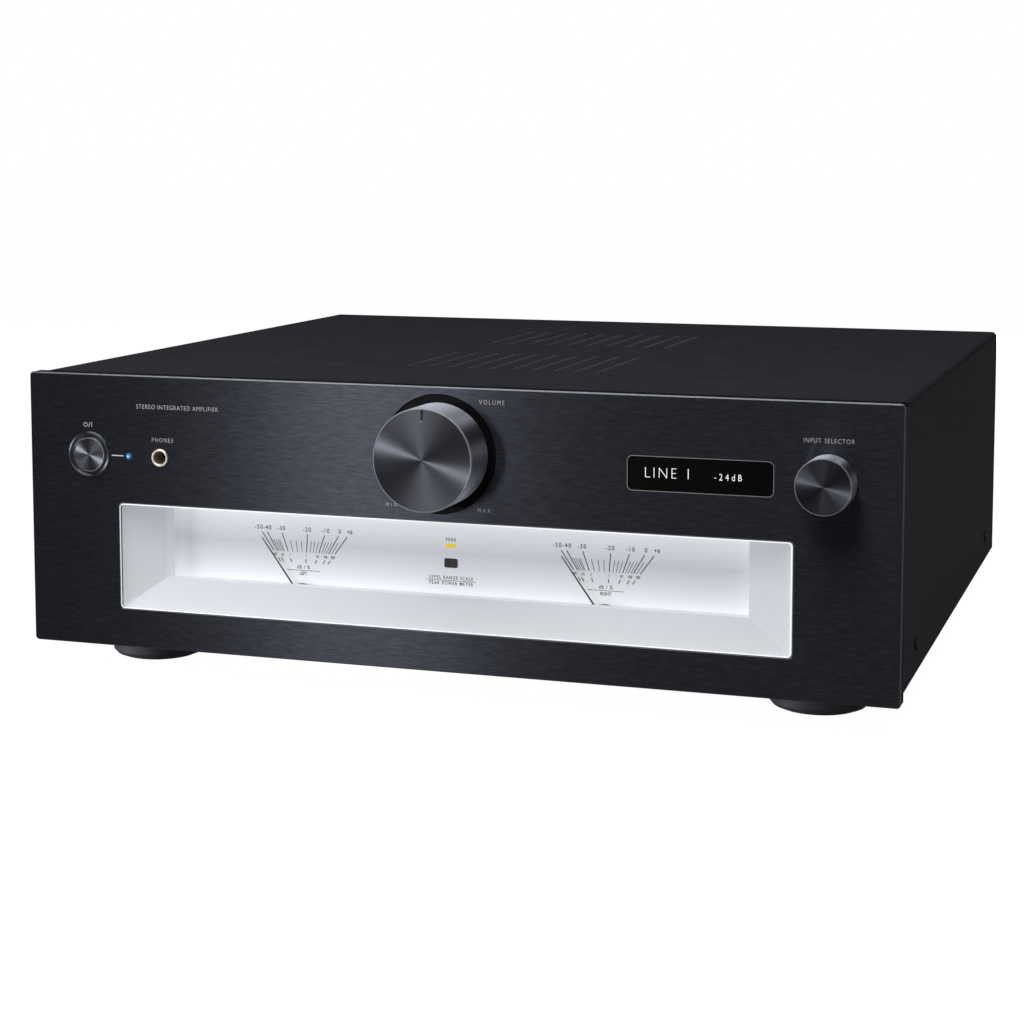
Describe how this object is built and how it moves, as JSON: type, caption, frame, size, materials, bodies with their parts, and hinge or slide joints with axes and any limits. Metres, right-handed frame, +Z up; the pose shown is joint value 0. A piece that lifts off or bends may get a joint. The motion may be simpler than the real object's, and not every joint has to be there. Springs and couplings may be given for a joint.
{
  "type": "integrated amplifier",
  "caption": "Integrated stereo amplifier with a thick brushed front panel, a wide lit window with needle meters, volume and input knobs, and rear terminals.",
  "frame": {"origin": "on the surface it stands on, under the middle of its bounding box", "axes": "+Z up, +X to the right seen from the front, +Y from the front panel towards the rear"},
  "size_m": [0.43, 0.428, 0.148],
  "materials": {
    "brushed_black": "black anodised with a horizontal brushed grain",
    "satin_black": "fine satin black paint",
    "zinc_steel": "plain zinc plated sheet",
    "turned_aluminium": "dark anodised, turned faces with circular grain",
    "steel": "plain turned steel",
    "black_screws": "black plated",
    "recess_black": "matt black",
    "black_plastic": "moulded satin black",
    "bright_ring": "polished",
    "gold_metal": "gold plated",
    "red_cap": "moulded red, fluted",
    "black_cap": "moulded black, fluted",
    "display_black": "polished black window",
    "display_glass": "dark display glass on its board",
    "clear_pane": "clear acrylic",
    "white_bezel": "satin white moulding",
    "lit_dial": "white translucent plate, lit from behind",
    "needle_black": "matt black",
    "yellow_lens": "lit yellow lens",
    "dark_lens": "smoked lens",
    "blue_lens": "lit blue lens",
    "circuit_board": "solder mask with parts",
    "transformer_wrap": "tape-wrapped winding",
    "can_sleeve": "shrink sleeve",
    "heat_sink_metal": "black anodised extrusion",
    "transistor_case": "moulded epoxy",
    "foot_shell": "semi-gloss dark grey",
    "foot_rubber": "soft pad"
  },
  "bodies": {
    "root": {"amplifier_board": "circuit_board", "bottom_chassis": "zinc_steel", "cover_screws": "black_screws", "dial_plate": "lit_dial", "digital_inputs": "black_plastic", "display_module": "display_glass", "display_window": "display_black", "foot_pads": "foot_rubber", "foot_screws": "black_screws", "front_board": "circuit_board", "front_left_foot": "foot_shell", "front_panel": "brushed_black", "front_right_foot": "foot_shell", "headphone_jack": "black_plastic", "heat_sink": "heat_sink_metal", "input_board": "circuit_board", "left_meter_movement": "steel", "line_input_jacks": "black_plastic", "mains_inlet": "black_plastic", "mains_transformer": "transformer_wrap", "meter_bezel": "white_bezel", "meter_lamp_strip": "circuit_board", "meter_window": "clear_pane", "output_transistors": "transistor_case", "peak_indicator": "yellow_lens", "phones_ring": "bright_ring", "power_button_ring": "turned_aluminium", "power_lamp": "blue_lens", "power_supply_board": "circuit_board", "power_switch": "black_plastic", "rear_left_foot": "foot_shell", "rear_panel": "satin_black", "rear_right_foot": "foot_shell", "remote_sensor_window": "dark_lens", "reservoir_capacitors": "can_sleeve", "right_meter_movement": "steel", "selector_encoder": "black_plastic", "shield_partition": "zinc_steel", "speaker_studs": "gold_metal", "speaker_terminal_base": "black_plastic", "top_cover": "satin_black", "volume_encoder": "black_plastic", "volume_recess_ring": "recess_black"},
    "volume": {"volume_knob": "turned_aluminium", "volume_shaft": "steel"},
    "selector": {"selector_knob": "turned_aluminium", "selector_shaft": "steel"},
    "power": {"power_button": "turned_aluminium"},
    "left_pointer": {"left_needle": "needle_black", "left_meter_coil": "steel"},
    "right_pointer": {"right_needle": "needle_black", "right_meter_coil": "steel"},
    "right_negative_clamp": {"right_negative_washer": "gold_metal"},
    "right_negative_turn_cap": {"right_negative_cap": "black_cap"},
    "right_positive_clamp": {"right_positive_washer": "gold_metal"},
    "right_positive_turn_cap": {"right_positive_cap": "red_cap"},
    "left_negative_clamp": {"left_negative_washer": "gold_metal"},
    "left_negative_turn_cap": {"left_negative_cap": "black_cap"},
    "left_positive_clamp": {"left_positive_washer": "gold_metal"},
    "left_positive_turn_cap": {"left_positive_cap": "red_cap"}
  },
  "joints": [
    {"name": "volume_turn", "type": "hinge", "parent": "root", "child": "volume", "pos_m": [0, -0.192, 0.1165], "axis": [0, 1, 0], "range_deg": [-140, 140]},
    {"name": "selector_turn", "type": "hinge", "parent": "root", "child": "selector", "pos_m": [0.182, -0.192, 0.1121], "axis": [0, 1, 0], "continuous": true},
    {"name": "power_press", "type": "slide", "parent": "root", "child": "power", "axis": [0, 1, 0], "range_m": [0, 0.0015], "stiffness_N_per_m": 600, "springref_m": -0.002},
    {"name": "left_needle_swing", "type": "hinge", "parent": "root", "child": "left_pointer", "pos_m": [-0.0761, -0.1774, 0.04], "axis": [0, 1, 0], "range_deg": [0, 72], "stiffness_Nm_per_rad": 0.0004, "springref_deg": -28.65},
    {"name": "right_needle_swing", "type": "hinge", "parent": "root", "child": "right_pointer", "pos_m": [0.0761, -0.1774, 0.04], "axis": [0, 1, 0], "range_deg": [0, 72], "stiffness_Nm_per_rad": 0.0004, "springref_deg": -28.65},
    {"name": "right_negative_clamp_travel", "type": "slide", "parent": "root", "child": "right_negative_clamp", "axis": [0, 1, 0], "range_m": [0, 0.003]},
    {"name": "right_negative_cap_turn", "type": "hinge", "parent": "right_negative_clamp", "child": "right_negative_turn_cap", "pos_m": [-0.112, 0.192, 0.0535], "axis": [0, 1, 0], "range_deg": [0, 1080]},
    {"name": "right_positive_clamp_travel", "type": "slide", "parent": "root", "child": "right_positive_clamp", "axis": [0, 1, 0], "range_m": [0, 0.003]},
    {"name": "right_positive_cap_turn", "type": "hinge", "parent": "right_positive_clamp", "child": "right_positive_turn_cap", "pos_m": [-0.088, 0.192, 0.0535], "axis": [0, 1, 0], "range_deg": [0, 1080]},
    {"name": "left_negative_clamp_travel", "type": "slide", "parent": "root", "child": "left_negative_clamp", "axis": [0, 1, 0], "range_m": [0, 0.003]},
    {"name": "left_negative_cap_turn", "type": "hinge", "parent": "left_negative_clamp", "child": "left_negative_turn_cap", "pos_m": [-0.052, 0.192, 0.0535], "axis": [0, 1, 0], "range_deg": [0, 1080]},
    {"name": "left_positive_clamp_travel", "type": "slide", "parent": "root", "child": "left_positive_clamp", "axis": [0, 1, 0], "range_m": [0, 0.003]},
    {"name": "left_positive_cap_turn", "type": "hinge", "parent": "left_positive_clamp", "child": "left_positive_turn_cap", "pos_m": [-0.028, 0.192, 0.0535], "axis": [0, 1, 0], "range_deg": [0, 1080]}
  ],
  "couplings": [
    {"joint": "right_negative_cap_turn", "follows": "right_negative_clamp_travel", "rad_per_m": 6283.2},
    {"joint": "right_positive_cap_turn", "follows": "right_positive_clamp_travel", "rad_per_m": 6283.2},
    {"joint": "left_negative_cap_turn", "follows": "left_negative_clamp_travel", "rad_per_m": 6283.2},
    {"joint": "left_positive_cap_turn", "follows": "left_positive_clamp_travel", "rad_per_m": 6283.2}
  ]
}
